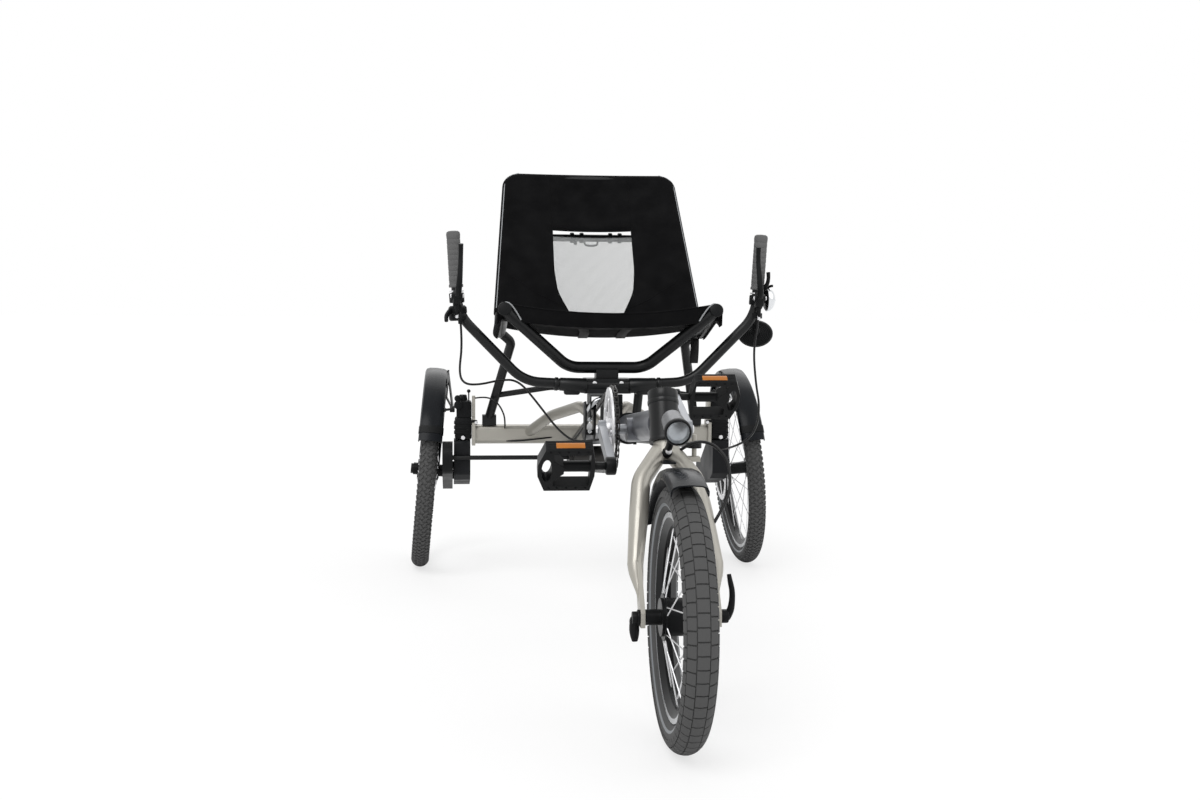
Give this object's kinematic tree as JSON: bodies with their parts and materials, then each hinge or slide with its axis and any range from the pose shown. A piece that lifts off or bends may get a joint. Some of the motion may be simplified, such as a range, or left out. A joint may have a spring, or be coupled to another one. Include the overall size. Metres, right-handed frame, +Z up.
{
  "type": "recumbent tricycle",
  "caption": "Recumbent tricycle with a steered front wheel, cambered rear wheels, a sling seat, an under-seat handlebar and cranks behind the steering head.",
  "frame": {"origin": "on the ground, in the middle of the outline's length and width", "axes": "+Z up, -Y forward, +X to the rider's left"},
  "size_m": [0.9022, 2.014, 1.003],
  "materials": {
    "arm_grey": "dark grey cast parts",
    "black_coat": "satin black powder coat",
    "black_plastic": "moulded black plastic",
    "bright_steel": "bright steel",
    "cable_black": "black cable sleeve",
    "chain_steel": "dark oiled steel",
    "crank_grey": "grey anodised",
    "frame_graphite": "graphite metallic powder coat",
    "frame_silver": "warm silver powder coat",
    "grip_rubber": "dark rubber grip",
    "guard_plastic": "dark slate mudguard",
    "hub_black": "black anodised hub with bright spokes",
    "lamp_grey": "ribbed grey lamp barrel",
    "rim_black": "black anodised with bare braking edge",
    "sling_cloth": "black woven seat cloth with pale piping",
    "tyre_rubber": "black tyre with a pale reflecting stripe"
  },
  "bodies": {
    "frame": {"main_tube": "frame_graphite", "head_tube": "black_coat", "rear_beam": "frame_silver", "curved_braces": "frame_silver", "stub_axles": "black_coat", "rear_arm_left": "arm_grey", "rear_arm_right": "arm_grey", "spring_units": "black_plastic", "rear_caliper_left": "black_coat", "frame_cables": "cable_black", "rear_guard_left": "guard_plastic", "rear_guard_right": "guard_plastic", "steering_post": "black_coat", "seat_rails": "black_coat", "seat_hoop": "black_coat", "seat_struts": "black_coat", "seat_cross_brace": "black_coat", "seat_crossbar": "black_coat", "seat_sling": "sling_cloth", "back_sling": "sling_cloth", "chain": "chain_steel", "rear_gears": "chain_steel", "drive_shaft": "black_coat", "gear_changer": "black_plastic", "chain_case": "black_plastic"},
    "handlebar": {"handlebar": "black_coat", "bar_clamp": "black_coat", "steering_arm": "black_coat", "grip_left": "grip_rubber", "grip_right": "grip_rubber", "brake_lever_left": "black_plastic", "brake_lever_right": "black_plastic", "mirror": "black_plastic", "bell": "bright_steel", "handlebar_cables": "cable_black"},
    "tie_rod": {"tie_rod": "black_coat"},
    "fork": {"fork": "frame_silver", "front_axle": "bright_steel", "front_guard": "guard_plastic", "headlight": "lamp_grey", "front_caliper": "black_coat", "fork_hose": "cable_black"},
    "front_wheel": {"front_tyre": "tyre_rubber", "front_rim": "rim_black", "front_hub": "hub_black", "front_disc": "bright_steel"},
    "rear_wheel_left": {"rear_tyre_left": "tyre_rubber", "rear_rim_left": "rim_black", "rear_hub_left": "hub_black", "rear_disc_left": "bright_steel"},
    "rear_wheel_right": {"rear_tyre_right": "tyre_rubber", "rear_rim_right": "rim_black", "rear_hub_right": "hub_black"},
    "crankset": {"crank_axle": "crank_grey", "crank_arm_left": "crank_grey", "crank_arm_right": "crank_grey", "chainring": "chain_steel", "chain_guard_ring": "bright_steel"},
    "pedal_left": {"pedal_left": "black_plastic"},
    "pedal_right": {"pedal_right": "black_plastic"}
  },
  "joints": [
    {"name": "handlebar_turn", "type": "hinge", "parent": "frame", "child": "handlebar", "pos_m": [0, 0.243, 0.497], "axis": [0, 0, 1], "range_deg": [-22, 22]},
    {"name": "fork_turn", "type": "hinge", "parent": "frame", "child": "fork", "pos_m": [0, -0.618, 0.4875], "axis": [0, 0.3746, 0.9272], "range_deg": [-33, 33]},
    {"name": "tie_rod_swing", "type": "hinge", "parent": "handlebar", "child": "tie_rod", "pos_m": [0.066, 0.243, 0.372], "axis": [0, 0, 1], "range_deg": [-22, 22]},
    {"name": "front_wheel_spin", "type": "hinge", "parent": "fork", "child": "front_wheel", "pos_m": [0, -0.802, 0.205], "axis": [1, 0, 0], "continuous": true},
    {"name": "rear_wheel_left_spin", "type": "hinge", "parent": "frame", "child": "rear_wheel_left", "pos_m": [0.4058, 0.743, 0.2491], "axis": [0.996, 0, 0.0889], "continuous": true},
    {"name": "rear_wheel_right_spin", "type": "hinge", "parent": "frame", "child": "rear_wheel_right", "pos_m": [-0.4058, 0.743, 0.2491], "axis": [0.996, 0, -0.0889], "continuous": true},
    {"name": "crank_spin", "type": "hinge", "parent": "frame", "child": "crankset", "pos_m": [0, -0.395, 0.45491], "axis": [1, 0, 0], "continuous": true},
    {"name": "pedal_left_spin", "type": "hinge", "parent": "crankset", "child": "pedal_left", "pos_m": [0.155, -0.23704, 0.5026], "axis": [1, 0, 0], "continuous": true},
    {"name": "pedal_right_spin", "type": "hinge", "parent": "crankset", "child": "pedal_right", "pos_m": [-0.155, -0.55296, 0.40722], "axis": [1, 0, 0], "continuous": true}
  ],
  "couplings": [
    {"joint": "fork_turn", "follows": "handlebar_turn", "ratio": 1.5},
    {"joint": "tie_rod_swing", "follows": "handlebar_turn", "ratio": -1}
  ]
}
